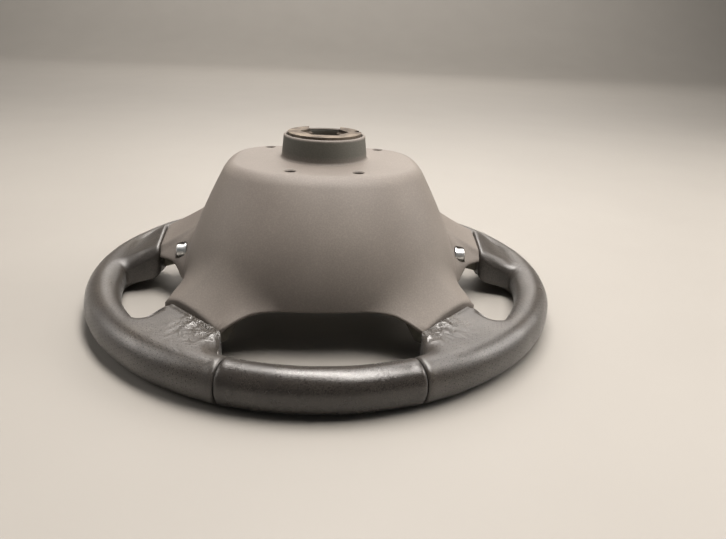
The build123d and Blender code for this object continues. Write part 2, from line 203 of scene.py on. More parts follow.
corroded = add(tree, "ShaderNodeMapRange", {
    "Value": height_place.outputs["Z"],
    "From Min": corroded_from_z * mm,
    "From Max": corroded_to_z * mm,
})
alloy_colour = add(tree, "ShaderNodeMixRGB", {
    "Fac": corroded.outputs["Result"],
    "Color1": arm_colour.outputs["Color"],
    "Color2": boss_colour.outputs["Color"],
})
cast_grain = add(tree, "ShaderNodeTexNoise", {
    "Vector": place, "Scale": 1 / (cast_grain_width * mm), "Detail": 3})
cast_relief = add(tree, "ShaderNodeMixRGB", {
    "Fac": 0.35, "Color1": stain.outputs["Fac"], "Color2": cast_grain.outputs["Fac"]})
cast_bump = add(tree, "ShaderNodeBump", {
    "Height": cast_relief.outputs["Color"], "Strength": 0.5, "Distance": cast_relief_depth * mm})
cast_rough = add(tree, "ShaderNodeMapRange", {"Value": stain.outputs["Fac"], "To Min": 0.9, "To Max": 0.6})
show(tree, add(tree, "ShaderNodeBsdfPrincipled", {
    "Base Color": alloy_colour.outputs["Color"],
    "Metallic": 0.25,
    "Roughness": cast_rough.outputs["Result"],
    "Normal": cast_bump.outputs["Normal"],
}))


def dress(node, material):
    """Gives a CAD node its finish."""
    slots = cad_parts[node].data.materials
    slots.clear()
    slots.append(material)


dress("armature", cast_alloy)

# Boss crown: the rough cast end of the boss, which stands a little higher than the turned length of the
# casting. It has the outline of the boss's end face, with its hexagon, gap and notch.
crown_height = 2
flat_tolerance = 0.05
merge_distance = 0.001
boss_end_z = cad_box[1][2]
end_level_z = boss_end_z - flat_tolerance * mm
crown_form = bmesh.new()
crown_form.from_mesh(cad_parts["armature"].data)
crown_form.transform(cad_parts["armature"].matrix_world)
below = [face for face in crown_form.faces if min(corner.co.z for corner in face.verts) < end_level_z]
bmesh.ops.delete(crown_form, geom=below, context="FACES")
bmesh.ops.remove_doubles(crown_form, verts=crown_form.verts, dist=merge_distance * mm)
raised = bmesh.ops.extrude_face_region(crown_form, geom=crown_form.faces[:], use_keep_orig=True)
raised_corners = [part for part in raised["geom"] if isinstance(part, bmesh.types.BMVert)]
bmesh.ops.translate(crown_form, verts=raised_corners, vec=(0, 0, crown_height * mm))
bmesh.ops.recalc_face_normals(crown_form, faces=crown_form.faces)
crown_mesh = bpy.data.meshes.new("boss_crown")
crown_form.to_mesh(crown_mesh)
crown_form.free()
crown_mesh.materials.clear()
crown_mesh.materials.append(cast_alloy)
crown = bpy.data.objects.new("boss_crown", crown_mesh)
bpy.context.collection.objects.link(crown)
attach(crown, "wheel")

# Steel insert, bolt bushes and rim core: turned and drawn carbon steel, bare and lightly oiled, with
# tool rings that break up the shine and a little rust bloom. The rings are drawn coarse so that they show.
bloom_width = 8.33
tool_ring_pitch = 1.963
tool_ring_depth = 0.1
bare_steel = "#9c9a96"
rust_bloom = "#6f5a48"
turned_steel, tree, place = new_material("turned_steel")
bloom = add(tree, "ShaderNodeTexNoise", {"Vector": place, "Scale": 1 / (bloom_width * mm), "Detail": 5})
bloom_range = add(tree, "ShaderNodeMapRange", {
    "Value": bloom.outputs["Fac"], "From Min": 0.5, "From Max": 0.75})
steel_colour = add(tree, "ShaderNodeMixRGB", {
    "Fac": bloom_range.outputs["Result"], "Color1": linear(bare_steel), "Color2": linear(rust_bloom)})
# At a scale of 1 the wave texture has a ring every pi / 10
tool_rings = add(
    tree, "ShaderNodeTexWave",
    {"Vector": place, "Scale": math.pi / 10 / (tool_ring_pitch * mm), "Distortion": 1},
    wave_type="RINGS", rings_direction="Z")
steel_bump = add(tree, "ShaderNodeBump", {
    "Height": tool_rings.outputs["Fac"], "Strength": 0.15, "Distance": tool_ring_depth * mm})
steel_rough = add(tree, "ShaderNodeMapRange", {
    "Value": bloom.outputs["Fac"], "To Min": 0.25, "To Max": 0.55})
show(tree, add(tree, "ShaderNodeBsdfPrincipled", {
    "Base Color": steel_colour.outputs["Color"],
    "Metallic": 1,
    "Roughness": steel_rough.outputs["Result"],
    "Normal": steel_bump.outputs["Normal"],
}))
for node in ("hub_bush", "rim_ring", "bolt_bush_left", "bolt_bush_right"):
    dress(node, turned_steel)

# Foam: black polyurethane moulded over the rim core and the ends of the spokes, with a fine closed skin.
# It has the form that the leather is wrapped round, drawn in by the hide's thickness and a clearance,
# and shows only in the joints between the leather and the cover.
rim_mid_radius = 177
rim_half_width = 13
rim_half_depth = 14.6
rim_depth = 2 * rim_half_depth
inner_radius = rim_mid_radius - rim_half_width
seam_x = 137
side_web_y = 16
side_web_half = 22
side_web_flare = 4
side_web_top = 44.5
side_web_tilt = 0.34
side_tilt_front = -30
side_tilt_rear = 10
side_web_low = 13.6
side_front_lift = 6.5
side_front_start = 10
side_front_run = 12
side_top_x = 172
side_top_run = 36
side_low_run = 40
side_edge_radius = 3.5
side_round_run = 34
lower_seam = np.array((86.85, -108.77))
lower_run = np.array((math.sqrt(0.5), -math.sqrt(0.5)))
lower_side = np.array((math.sqrt(0.5), math.sqrt(0.5)))
lower_up_half = 27.6
lower_up_flare = 0.04
lower_down_half = 28.5
lower_down_flare = 1.1
lower_web_top = 28.7
lower_top_run = 14
lower_web_low = 4.1
lower_low_run = 25
lower_edge_radius = 1.6
lower_round_run = 16
web_lead = 4
web_blend = 10
web_border = 8
seam_lead = 5
seam_blend = 4
fillet_turn = 0.7
rounding_turn = 0.3
least_half_depth = 0.5
ring_step = 0.1
reach_step = 0.2
reach_end = 100
outer_points = 27
inner_points = 26
wall_points = 7
leather_thickness = 1.2
foam_clearance = 0.9
foam_lag = 20
foam_step = 0.8
foam_cell_width = 1.2
foam_cell_depth = 0.2
foam_dark = "#1b1a19"
foam_light = "#2a2927"


def ease(share):
    """Smooth step from 0 to 1."""
    share = np.clip(share, 0, 1)
    return share * share * (3 - 2 * share)


def lower_place(x, y):
    """Distances out from a lower spoke's seam and across the spoke."""
    east = np.abs(x) - lower_seam[0]
    north = y - lower_seam[1]
    return east * lower_run[0] + north * lower_run[1], east * lower_side[0] + north * lower_side[1]


def lower_margin(out, across):
    """Distance in from the nearer side of a lower web, below zero outside it."""
    out = np.clip(out, 0, None)
    up_side = lower_up_half + lower_up_flare * out - across
    down_side = lower_down_half + lower_down_flare * out + across
    return np.minimum(up_side, down_side)


def side_half_width(x):
    """Half the width of a side web at a distance from the wheel's middle."""
    return side_web_half + side_web_flare * np.clip(np.abs(x) - seam_x, 0, None) / (rim_mid_radius - seam_x)


def blurred(values, turn):
    """Values round the rim, evened out over a turn in degrees."""
    count = len(values)
    lags = np.arange(-count // 2, count // 2)
    weights = np.exp(-0.5 * (lags * 360 / count / turn) ** 2)
    weights = np.roll(weights / weights.sum(), count // 2)
    return np.real(np.fft.ifft(np.fft.fft(values) * np.fft.fft(weights)))


# Inner edge of the wrapped form all round the rim: the rim itself, or the end of a web
ring_turns = np.radians(np.arange(0, 360, ring_step))
reaches = np.arange(inner_radius, reach_end, -reach_step)
ring_x = np.cos(ring_turns)[:, None] * reaches
ring_y = np.sin(ring_turns)[:, None] * reaches
ring_out, ring_across = lower_place(ring_x, ring_y)
in_lower = (ring_out >= 0) & (lower_margin(ring_out, ring_across) >= 0)
in_side = (np.abs(ring_x) >= seam_x) & (np.abs(ring_y - side_web_y) <= side_half_width(ring_x))
run_length = np.logical_and.accumulate(in_lower | in_side, axis=1).sum(axis=1)
sharp_edge = inner_radius - reach_step * run_length
ring_edge = np.minimum(sharp_edge, blurred(sharp_edge, fillet_turn))

# Radius of that edge: small at the seams with the cover, and that of the rim's section further out
end_x = np.cos(ring_turns) * ring_edge
end_y = np.sin(ring_turns) * ring_edge
end_out, end_across = lower_place(end_x, end_y)
on_lower = lower_margin(end_out, end_across) > -web_border
on_side = np.abs(end_y - side_web_y) < side_half_width(end_x) + web_border
side_rounding = np.where(on_side, ease((np.abs(end_x) - seam_x) / side_round_run), 1)
rounding = np.where(on_lower, ease(end_out / lower_round_run), side_rounding)
edge_radius = np.where(on_lower, lower_edge_radius, side_edge_radius)
ring_round = blurred(edge_radius + (rim_half_width - edge_radius) * rounding, rounding_turn)
edge_finder = kdtree.KDTree(len(ring_turns))
for index in range(len(ring_turns)):
    edge_finder.insert((end_x[index], end_y[index], 0), index)
edge_finder.balance()


def edge_drop(distance, radius):
    """Fall of a rounded edge at a distance in from it."""
    share = 1 - np.clip(distance / radius, 0, 1)
    return radius * (1 - np.sqrt(np.clip(1 - share * share, 0, 1)))


def wrapped_form(turns, inner_edge):
    """Grid of points on the wrapped rim and webs: one closed section for each turn round the rim."""
    edge = np.interp(turns, ring_turns, inner_edge, period=2 * math.pi)[:, None]
    outer = np.linspace(math.pi / 2, -math.pi / 2, outer_points)
    outer_radius = rim_mid_radius + rim_half_width * np.cos(outer) + 0 * edge
    outer_z = rim_half_depth * (1 + np.sin(outer)) + 0 * edge
    inward = np.linspace(0, math.pi / 2, inner_points)[1:]
    radius = rim_mid_radius - (rim_mid_radius - edge) * np.sin(inward)
    x = np.cos(turns)[:, None] * radius
    y = np.sin(turns)[:, None] * radius
    from_middle = rim_mid_radius - radius
    out, across = lower_place(x, y)
    lower = ease((lower_margin(out, across) + web_lead) / web_blend) * ease((out + seam_lead) / seam_blend)
    side = ease((side_half_width(x) + web_lead - np.abs(y - side_web_y)) / web_blend)
    top = rim_depth + (lower_web_top - rim_depth) * lower * ease(from_middle / lower_top_run)
    side_top = side_web_top + side_web_tilt * np.clip(y - side_web_y, side_tilt_front, side_tilt_rear)
    top += (side_top - rim_depth) * side * ease((side_top_x - np.abs(x)) / side_top_run)
    low = lower_web_low * lower * ease(from_middle / lower_low_run)
    side_low = side_web_low + side_front_lift * ease((side_web_y - side_front_start - y) / side_front_run)
    low += side_low * side * ease((rim_mid_radius - np.abs(x)) / side_low_run)
    drop = np.zeros_like(radius)
    for place in np.ndindex(radius.shape):
        index, distance = edge_finder.find((x[place], y[place], 0))[1:]
        drop[place] = edge_drop(distance, ring_round[index])
    middle = (top + low) / 2
    top_z = np.maximum(top - drop, middle + least_half_depth)
    low_z = np.minimum(low + drop, middle - least_half_depth)
    wall_share = np.linspace(0, 1, wall_points)[1:-1]
    wall_z = low_z[:, -1:] + (top_z[:, -1:] - low_z[:, -1:]) * wall_share
    wall_radius = edge + 0 * wall_share
    all_radius = np.concatenate((outer_radius, radius, wall_radius, radius[:, ::-1]), axis=1)
    all_z = np.concatenate((outer_z, low_z, wall_z, top_z[:, ::-1]), axis=1)
    return np.stack((np.cos(turns)[:, None] * all_radius, np.sin(turns)[:, None] * all_radius, all_z), axis=2)


def grid_normals(points):
    """Outward directions on a grid that is closed along its second axis."""
    along = np.gradient(points, axis=0)
    round_it = np.roll(points, -1, axis=1) - np.roll(points, 1, axis=1)
    normals = np.cross(round_it, along)
    return normals / np.maximum(np.linalg.norm(normals, axis=2, keepdims=True), 1e-9)


def grid_piece(name, points, material):
    """A smooth mesh object of quads on a grid of points in millimetres, closed along its second axis."""
    rows, columns = points.shape[:2]
    faces = []
    for row in range(rows - 1):
        first = row * columns
        for column in range(columns):
            after = (column + 1) % columns
            faces.append((first + column, first + after, first + columns + after, first + columns + column))
    mesh = bpy.data.meshes.new(name)
    mesh.from_pydata((points.reshape(-1, 3) * mm).tolist(), [], faces)
    mesh.materials.append(material)
    mesh.shade_smooth()
    piece = bpy.data.objects.new(name, mesh)
    bpy.context.collection.objects.link(piece)
    return piece


moulded_foam, tree, place = new_material("moulded_foam")
cells = add(tree, "ShaderNodeTexVoronoi", {"Vector": place, "Scale": 1 / (foam_cell_width * mm)})
foam_tone = add(tree, "ShaderNodeMixRGB", {
    "Fac": cells.outputs["Distance"], "Color1": linear(foam_dark), "Color2": linear(foam_light)})
foam_bump = add(tree, "ShaderNodeBump", {
    "Height": cells.outputs["Distance"], "Strength": 0.3, "Distance": foam_cell_depth * mm})
show(tree, add(tree, "ShaderNodeBsdfPrincipled", {
    "Base Color": foam_tone.outputs["Color"],
    "Roughness": 0.8,
    "Normal": foam_bump.outputs["Normal"],
}))
foam_edge = np.max([np.roll(ring_edge, lag) for lag in range(-foam_lag, foam_lag + 1)], axis=0)
foam_points = wrapped_form(np.radians(np.arange(0, 360 + foam_step / 2, foam_step)), foam_edge)
foam_points = foam_points - grid_normals(foam_points) * (leather_thickness + foam_clearance)
foam = grid_piece("rim_foam_form", foam_points, moulded_foam)
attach(foam, "wheel")
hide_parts("rim_foam")

# Leather: four panels of dark hide, wetted, pulled round the foam and sewn to each other. Two panels
# at the sides are perforated, the bottom and top ones are smooth; all have worn to a dull shine, and
# the hide is creased where it turns in at the lower spokes.
bottom_seam = 19.7
top_seam = 50
panel_step = 0.5
seam_steps = np.array((0.12, 0.5, 0.9, 1.3, 1.8, 2.4, 3.1))
groove_depth = 1.4
groove_width = 0.8
swell_height = 0.3
swell_middle = 3.5
swell_width = 2.2
hem_height = 0.7
hem_middle = 2.2
hem_width = 1.5
web_zone_half = 40
far_off = 99
fold_start = 4
lower_fold_height = 2.2
lower_fold_run = 11
lower_fold_edge = 12
lower_fold_fade = 24
side_fold_height = 0.4
side_fold_run = 8
fold_length = 10
fold_width = 5
fold_floor = 0.02
fine_fold_share = 0.5
fine_fold_rate = 2.3
sway_height = 0.3
sway_rate = 0.045
crease_run = 13
crease_edge = 14
crease_fade = 24
crease_end_fade = 12
side_zone_x = 170
side_zone_run = 20
side_zone_half = 34
side_zone_fade = 8
smooth_turns = 10
smooth_pull = 0.5
rubbed_width = 35.7
fine_grain_width = 2.5
grain_depth_share = 0.13
wrinkle_width = 8
wrinkle_depth = 4.5
crease_polish = 0.2
pebble_gap = "#221e1b"


def hump(distance, middle, width):
    """Smooth rise to 1 about a middle distance."""
    return np.exp(-(((distance - middle) / width) ** 2))


def leather_relief(points, from_seam):
    """How far the hide stands proud of its even form at seams, swells and folds, and where it is creased."""
    relief = -groove_depth * hump(from_seam, 0, groove_width)
    relief = relief + swell_height * hump(from_seam, swell_middle, swell_width)
    relief = np.repeat(relief[:, None], points.shape[1], axis=1)
    x, y = points[:, :, 0], points[:, :, 1]
    out, across = lower_place(x, y)
    from_lower = np.where(np.abs(across) < web_zone_half, np.clip(out, 0, None), far_off)
    from_side = np.clip(np.abs(x) - seam_x, 0, None)
    from_side = np.where(np.abs(y - side_web_y) < web_zone_half, from_side, far_off)
    folds = lower_fold_height * np.exp(-from_lower / lower_fold_run) * (1 - hump(from_lower, 0, fold_start))
    folds = folds * ease((lower_fold_edge - across) / lower_fold_fade)
    side_folds = side_fold_height * np.exp(-from_side / side_fold_run)
    folds = folds + side_folds * (1 - hump(from_side, 0, fold_start))
    relief += hem_height * hump(np.minimum(from_lower, from_side), hem_middle, hem_width)
    for place in np.ndindex(relief.shape):
        spot = Vector(points[place])
        relief[place] += sway_height * noise.noise(spot * sway_rate)
        if folds[place] > fold_floor:
            drawn = Vector((out[place] / fold_length, across[place] / fold_width, spot.z / fold_length))
            waves = noise.noise(drawn) + fine_fold_share * noise.noise(drawn * fine_fold_rate)
            relief[place] += folds[place] * waves
    creases = np.exp(-from_lower / crease_run) * ease((crease_edge - across) / crease_fade)
    return relief, creases * ease((web_zone_half - np.abs(across)) / crease_end_fade)


def side_zone(points):
    """Share of each point that lies in a side web."""
    inside_x = ease((side_zone_x - np.abs(points[:, :, 0])) / side_zone_run)
    inside_y = ease((side_zone_half - np.abs(points[:, :, 1] - side_web_y)) / side_zone_fade)
    return (inside_x * inside_y)[:, :, None]


def drawn_smooth(points):
    """The hide with its corners drawn round where it turns in at the side webs."""
    pull = smooth_pull * side_zone(points)
    for turn in range(smooth_turns):
        across = (np.roll(points, 1, axis=1) + np.roll(points, -1, axis=1)) / 2
        along = points.copy()
        along[1:-1] = (points[:-2] + points[2:]) / 2
        points = points + pull * ((across + along) / 2 - points)
    return points


def settle(piece):
    """Turns a piece's modifiers into its mesh."""
    graph = bpy.context.evaluated_depsgraph_get()
    mesh = bpy.data.meshes.new_from_object(piece.evaluated_get(graph))
    piece.modifiers.clear()
    piece.data = mesh


def leather_material(name, dark, light, shine, gloss, grain_width):
    """Chrome-tanned hide with a pebbled grain, rubbed smooth and shiny in patches."""
    material, tree, place = new_material(name)
    pebbles = add(
        tree, "ShaderNodeTexVoronoi", {"Vector": place, "Scale": 1 / (grain_width * mm)},
        feature="DISTANCE_TO_EDGE")
    pebble_shape = add(tree, "ShaderNodeMapRange", {"Value": pebbles.outputs["Distance"], "From Max": 0.25})
    rubbed = add(tree, "ShaderNodeTexNoise", {
        "Vector": place, "Scale": 1 / (rubbed_width * mm), "Detail": 5, "Roughness": 0.6})
    rubbed_range = add(tree, "ShaderNodeMapRange", {
        "Value": rubbed.outputs["Fac"], "From Min": 0.36, "From Max": 0.66})
    fine = add(tree, "ShaderNodeTexNoise", {
        "Vector": place, "Scale": 1 / (fine_grain_width * mm), "Detail": 4})
    tone = add(tree, "ShaderNodeMixRGB", {
        "Fac": rubbed_range.outputs["Result"], "Color1": linear(dark), "Color2": linear(light)})
    pebbled_tone = add(tree, "ShaderNodeMixRGB", {
        "Fac": pebble_shape.outputs["Result"],
        "Color1": linear(pebble_gap),
        "Color2": tone.outputs["Color"],
    })
    rough = add(tree, "ShaderNodeMapRange", {
        "Value": rubbed.outputs["Fac"],
        "From Min": 0.3,
        "From Max": 0.7,
        "To Min": shine + 0.14,
        "To Max": shine - 0.05,
    })
    height = add(tree, "ShaderNodeMixRGB", {
        "Fac": 0.4, "Color1": pebble_shape.outputs["Result"], "Color2": fine.outputs["Fac"]})
    bump = add(tree, "ShaderNodeBump", {
        "Height": height.outputs["Color"],
        "Strength": 0.45,
        "Distance": grain_depth_share * grain_width * mm,
    })
    creased = add(tree, "ShaderNodeAttribute", attribute_name="creased")
    wrinkles = add(tree, "ShaderNodeTexNoise", {
        "Vector": place, "Scale": 1 / (wrinkle_width * mm), "Detail": 3, "Distortion": 1.2})
    wrinkle_bump = add(tree, "ShaderNodeBump", {
        "Height": wrinkles.outputs["Fac"],
        "Strength": creased.outputs["Fac"],
        "Distance": wrinkle_depth * mm,
        "Normal": bump.outputs["Normal"],
    })
    polish = add(tree, "ShaderNodeMath", {0: creased.outputs["Fac"], 1: crease_polish}, operation="MULTIPLY")
    polished = add(
        tree, "ShaderNodeMath", {0: rough.outputs["Result"], 1: polish.outputs["Value"]},
        operation="SUBTRACT")
    show(tree, add(tree, "ShaderNodeBsdfPrincipled", {
        "Base Color": pebbled_tone.outputs["Color"],
        "Roughness": polished.outputs["Value"],
        "Specular IOR Level": gloss,
        "Sheen Weight": 0.1,
        "Sheen Roughness": 0.4,
        "Normal": wrinkle_bump.outputs["Normal"],
    }))
    return material


smooth_leather = leather_material(
    "smooth_hide", dark="#332f2b", light="#4a4540", shine=0.2, gloss=0.8, grain_width=0.8)
perforated_leather = leather_material(
    "perforated_hide", dark="#3d3833", light="#57514a", shine=0.31, gloss=1, grain_width=1.1)
panels = {
    "leather_bottom": (270 - bottom_seam, 270 + bottom_seam, smooth_leather, "smooth_leather"),
    "leather_right": (bottom_seam - 90, 90 - top_seam, perforated_leather, "perforated_leather"),
    "leather_top": (90 - top_seam, 90 + top_seam, smooth_leather, "smooth_leather"),
    "leather_left": (90 + top_seam, 270 - bottom_seam, perforated_leather, "perforated_leather"),
}
near_seam = np.degrees(seam_steps / rim_mid_radius)
row_margin = near_seam[-1] + panel_step
panel_grids = {}
for node, (start, end, material, slot) in panels.items():
    between = np.linspace(start + row_margin, end - row_margin, round((end - start) / panel_step))
    turns = np.radians(np.concatenate((start + near_seam, between, end - near_seam[::-1])))
    from_seam = np.minimum(turns - math.radians(start), math.radians(end) - turns) * rim_mid_radius
    points = wrapped_form(turns, ring_edge)
    normals = grid_normals(points)
    relief, creases = leather_relief(points, from_seam)
    points = drawn_smooth(points + normals * relief[:, :, None])
    points[:, :, 2] = np.clip(points[:, :, 2], 0, None)
    panel_grids[node] = (points, normals, turns, from_seam)
    panel = grid_piece(node + "_hide", points, material)
    crease_map = panel.data.attributes.new("creased", "FLOAT", "POINT")
    crease_map.data.foreach_set("value", creases.astype(np.float32).ravel())
    hide = panel.modifiers.new("hide", "SOLIDIFY")
    hide.thickness = leather_thickness * mm
    hide.offset = -1
    settle(panel)
    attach(panel, "wheel")
    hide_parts(node)

# Perforations: staggered rows of small round holes, punched through the two side panels before they are
# sewn. They are dark discs that lie on the hide, set further apart than real ones so that each one shows;
# their dark tone is the black foam seen through each hole, darkened further by painted shade inside it.
hole_pitch = 3.5
hole_row_pitch = 0.87 * hole_pitch
hole_radius = 0.26
hole_sides = 8
hole_seam_margin = 9
hole_edge_margin = 1.5
hole_lift = 0.04
lint_width = 1.5
# The discs' tone is the black foam below each hole together with painted shade inside the hole.
hole_dark = "#141211"
hole_light = "#24201d"
hole_lining, tree, place = new_material("punched_hole")
lint = add(tree, "ShaderNodeTexNoise", {"Vector": place, "Scale": 1 / (lint_width * mm), "Detail": 2})
lint_tone = add(tree, "ShaderNodeMixRGB", {
    "Fac": lint.outputs["Fac"], "Color1": linear(hole_dark), "Color2": linear(hole_light)})
show(tree, add(tree, "ShaderNodeBsdfPrincipled", {
    "Base Color": lint_tone.outputs["Color"], "Roughness": 0.9, "Specular IOR Level": 0.1}))

# The tree sets a disc on every spot, turned by the spot's own facing and heading
hole_tree = bpy.data.node_groups.new("punched_holes", "GeometryNodeTree")
hole_sockets = {}
for name, direction, kind in (
    ("Spots", "INPUT", "NodeSocketGeometry"),
    ("Radius", "INPUT", "NodeSocketFloat"),
    ("Lining", "INPUT", "NodeSocketMaterial"),
    ("Holes", "OUTPUT", "NodeSocketGeometry"),
):
    socket = hole_tree.interface.new_socket(name, in_out=direction, socket_type=kind)
    hole_sockets[name] = socket.identifier
given = add(hole_tree, "NodeGroupInput")
spot_facing = add(
    hole_tree, "GeometryNodeInputNamedAttribute", {"Name": "facing"}, data_type="FLOAT_VECTOR")
spot_heading = add(
    hole_tree, "GeometryNodeInputNamedAttribute", {"Name": "heading"}, data_type="FLOAT_VECTOR")
upright = add(
    hole_tree, "FunctionNodeAlignRotationToVector", {"Vector": spot_facing.outputs["Attribute"]}, axis="Z")
turned = add(
    hole_tree, "FunctionNodeAlignRotationToVector",
    {"Rotation": upright.outputs["Rotation"], "Vector": spot_heading.outputs["Attribute"]},
    axis="X", pivot_axis="Z")
spots = add(hole_tree, "GeometryNodeMeshToPoints", {"Mesh": given.outputs["Spots"]})
disc = add(
    hole_tree, "GeometryNodeMeshCircle", {"Vertices": hole_sides, "Radius": given.outputs["Radius"]},
    fill_type="NGON")
placed = add(hole_tree, "GeometryNodeInstanceOnPoints", {
    "Points": spots.outputs["Points"],
    "Instance": disc.outputs["Mesh"],
    "Rotation": turned.outputs["Rotation"],
})
real = add(hole_tree, "GeometryNodeRealizeInstances", {"Geometry": placed.outputs["Instances"]})
lined = add(hole_tree, "GeometryNodeSetMaterial", {
    "Geometry": real.outputs["Geometry"], "Material": given.outputs["Lining"]})
add(hole_tree, "NodeGroupOutput", {"Holes": lined.outputs["Geometry"]})

for node in ("leather_right", "leather_left"):
    points, normals, turns, from_seam = panel_grids[node]
    hole_spots = []
    facings = []
    headings = []
    for step in range(int((turns[-1] - turns[0]) * rim_mid_radius / hole_row_pitch)):
        turn = turns[0] + (step + 0.5) * hole_row_pitch / rim_mid_radius
        if np.interp(turn, turns, from_seam) <= hole_seam_margin:
            continue
        row = int(np.searchsorted(turns, turn)) - 1
        part = (turn - turns[row]) / (turns[row + 1] - turns[row])
        section = points[row] * (1 - part) + points[row + 1] * part
        outwards = normals[row] * (1 - part) + normals[row + 1] * part
        lengths = np.concatenate(((0,), np.cumsum(np.linalg.norm(np.diff(section, axis=0), axis=1))))
        stagger = hole_pitch / 4 + hole_pitch / 2 * (step % 2)
        for length in np.arange(stagger, lengths[-1], hole_pitch):
            spot = np.array([np.interp(length, lengths, section[:, axis]) for axis in range(3)])
            facing = np.array([np.interp(length, lengths, outwards[:, axis]) for axis in range(3)])
            if math.hypot(spot[0], spot[1]) > inner_radius + hole_edge_margin:
                hole_spots.append(tuple((spot + facing * hole_lift) * mm))
                facings.append(facing)
                headings.append((-math.sin(turn), math.cos(turn), 0))
    holes_mesh = bpy.data.meshes.new(node + "_perforations")
    holes_mesh.from_pydata(hole_spots, [], [])
    for title, directions in (("facing", facings), ("heading", headings)):
        attribute = holes_mesh.attributes.new(title, "FLOAT_VECTOR", "POINT")
        attribute.data.foreach_set("vector", np.asarray(directions, dtype=np.float32).ravel())
    holes = bpy.data.objects.new(node + "_perforations", holes_mesh)
    bpy.context.collection.objects.link(holes)
    punching = holes.modifiers.new("punching", "NODES")
    punching.node_group = hole_tree
    punching[hole_sockets["Radius"]] = hole_radius * mm
    punching[hole_sockets["Lining"]] = hole_lining
    settle(holes)
    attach(holes, "wheel")

# Rear cover: one deep shell moulded in warm grey plastic with a fine matt grain, drawn coarser here so
# that it shows. It runs out into the four spokes, stands up as a collar round the boss and is held by
# four sunk screws. Years of handling have left faint patches. The collar is painted a darker greenish grey
# as painted shade and reflection, and lighter again along its top edge as a painted highlight.
cover_top_z = 118
cover_skirt_z = 28
cover_low_z = 22
cover_wall = 2.5
cover_centre_y = -14
top_half_width = 74
top_front_reach = 58
top_rear_reach = 63
side_spread = 37
front_spread = 44
rear_spread = 14
side_bow = 1.4
front_bow = 2.1
front_squareness = 2.4
rear_squareness = 3.5
top_edge_radius = 6
flare_overrun = 9
joint_gap = 0.9
least_share = 1e-3
side_flare_end = np.array((seam_x, 17.25))
side_flare_z = 70
side_flare_depth = 29
side_flare_power = 1.3
side_flare_tilt = 0.9
side_flare_tilt_front = -9
side_flare_tilt_rear = 5
side_rear_flat = 6
side_rear_turn = 15
side_front_flat = 7.5
side_front_turn = 23.5
side_front_power = 3
side_front_widen_z = 40
side_front_widen = 0.4
lower_flare_z = 73
lower_flare_depth = 49
lower_flare_power = 2.8
lower_flare_turn = 16
lower_crest_turn = 2
lower_widen_z = 62
lower_widen_depth = 32
lower_widen_flat = 9
lower_widen_turn = 13
bottom_arch_z = 35
bottom_arch_half = 66
bottom_arch_run = 26
bottom_arch_power = 2.5
rear_arch_z = 45
rear_arch_half = 84
rear_arch_run = 14
side_arch_z = 31
side_arch_middle = 12.9
side_arch_half = 20
side_arch_run = 8
collar_base_radius = 34
collar_top_radius = 32.5
collar_height = 18.3
collar_base_fillet = 2
collar_edge_radius = 1.8
screw_places = ((-46.3, 36.5), (46.3, 36.5), (-24.6, -54.3), (24.6, -54.3))
well_radius = 4
well_depth = 16
well_wall = 2
well_chamfer = 0.7
well_post_sink = 1.2
well_overcut = 3
bolt_place = (-12.5, 40)
bolt_hole_radius = 6.9
bolt_hole_start = 99
bolt_hole_end = 121
cutter_sides = 40
angle_step = 1.2
flank_step = 0.5
flank_middles = (11, 169)
flank_from = -15
flank_to = 16
wall_rows = 64
top_edge_rows = 9
top_rows = 15
collar_foot_rows = 6
collar_wall_rows = 8
collar_edge_rows = 5


def hub_radius(angle, z):
    """The hub's rounded outline about the cover's centre, without its spokes."""
    drop = np.clip((cover_top_z - z) / (cover_top_z - cover_skirt_z), 0, 1)
    front = np.sin(angle) < 0
    spread = 1 - (1 - drop) ** side_bow
    front_reach = top_front_reach + front_spread * (1 - (1 - drop) ** front_bow)
    power = np.where(front, front_squareness, rear_squareness)
    reach = np.where(front, front_reach, top_rear_reach + rear_spread * spread)
    along = np.abs(np.cos(angle)) / (top_half_width + side_spread * spread)
    across = np.abs(np.sin(angle)) / reach
    return (along**power + across**power) ** (-1 / power)


def turn_from(angle, centre):
    """Degrees from a centre line on the right, or from its mirror image on the left."""
    mirrored = np.where(np.cos(angle) > 0, angle, math.pi - angle)
    return np.degrees(np.angle(np.exp(1j * (mirrored - centre))))


def flare_line(end):
    """Direction from the cover's centre to a flare's end, and the flare's reach past the hub."""
    north = end[1] - cover_centre_y
    centre = math.atan2(north, end[0])
    reach = math.hypot(end[0], north) + flare_overrun - hub_radius(np.array(centre), cover_low_z)
    return centre, reach


def side_flare(angle, z):
    """How far the shell runs out into a side spoke, in a tilted saddle that widens at its front."""
    centre, reach = flare_line(side_flare_end)
    turn = turn_from(angle, centre)
    front_turn = side_front_turn + side_front_widen * np.clip(side_front_widen_z - z, 0, None)
    front_share = (-turn - side_front_flat) / (front_turn - side_front_flat)
    front_width = (1 - np.clip(front_share, 0, 1)) ** side_front_power
    rear_width = 1 - ease((turn - side_rear_flat) / (side_rear_turn - side_rear_flat))
    tilt = side_flare_tilt * np.clip(turn, side_flare_tilt_front, side_flare_tilt_rear)
    growth = np.clip((side_flare_z + tilt - z) / side_flare_depth, 0, 1) ** side_flare_power
    return reach * growth * np.where(turn < 0, front_width, rear_width)


def lower_flare(angle, z):
    """How far the shell runs out into a lower spoke, from a narrow crest to the spoke's full width."""
    centre, reach = flare_line(lower_seam)
    turn = turn_from(angle, centre)
    widened = np.clip((lower_widen_z - z) / lower_widen_depth, 0, 1)
    flat = lower_widen_flat * widened
    end = lower_flare_turn + lower_widen_turn * widened
    share = (np.hypot(turn, lower_crest_turn) - lower_crest_turn - flat) / (end - flat)
    width = widened * (1 - ease(share)) + (1 - widened) * (1 - np.clip(share, 0, 1)) ** 2
    growth = np.clip((lower_flare_z - z) / lower_flare_depth, 0, 1) ** lower_flare_power
    return reach * growth * width


